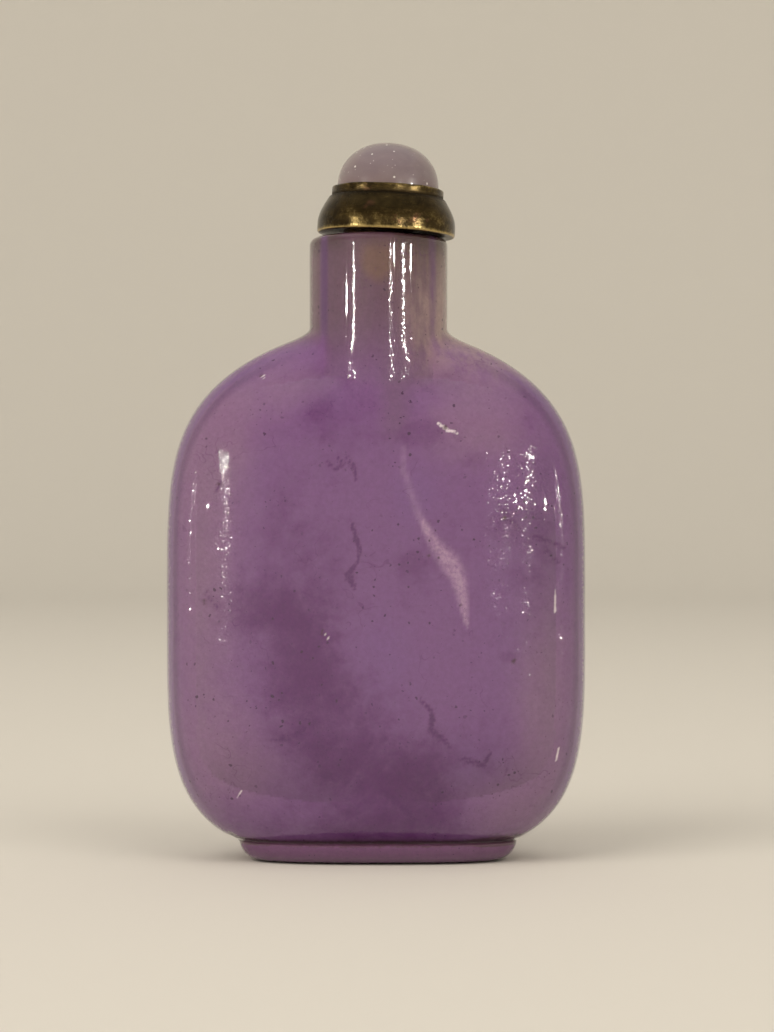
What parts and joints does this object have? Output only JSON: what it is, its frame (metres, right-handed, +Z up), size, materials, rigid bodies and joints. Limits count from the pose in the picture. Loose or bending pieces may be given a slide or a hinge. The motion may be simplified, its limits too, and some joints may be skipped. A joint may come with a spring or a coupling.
{
  "type": "snuff bottle",
  "caption": "Flattened pocket snuff bottle with round neck and oval foot; lift-out stopper with domed cabochon, metal collar, cork and spoon.",
  "frame": {"origin": "on the plane that the foot stands on, under the middle of the body's width and thickness", "axes": "+Z up along the bottle's height, towards the stopper; the broad faces look along -Y and +Y; +X to the right when looking at the front face"},
  "size_m": [0.0408, 0.016, 0.0698],
  "materials": {
    "purple_stone": "polished",
    "aged_brass": "satin",
    "pale_stone": "polished",
    "cement": "matte",
    "cork": "matte",
    "bone": "satin"
  },
  "bodies": {
    "bottle": {"bottle_body": "purple_stone"},
    "stopper": {"collar": "aged_brass", "cabochon": "pale_stone", "setting_cement": "cement", "cork": "cork", "spoon": "bone"}
  },
  "joints": [
    {"name": "stopper_lift", "type": "slide", "parent": "bottle", "child": "stopper", "axis": [0, 0, 1], "range_m": [0, 0.046]}
  ]
}
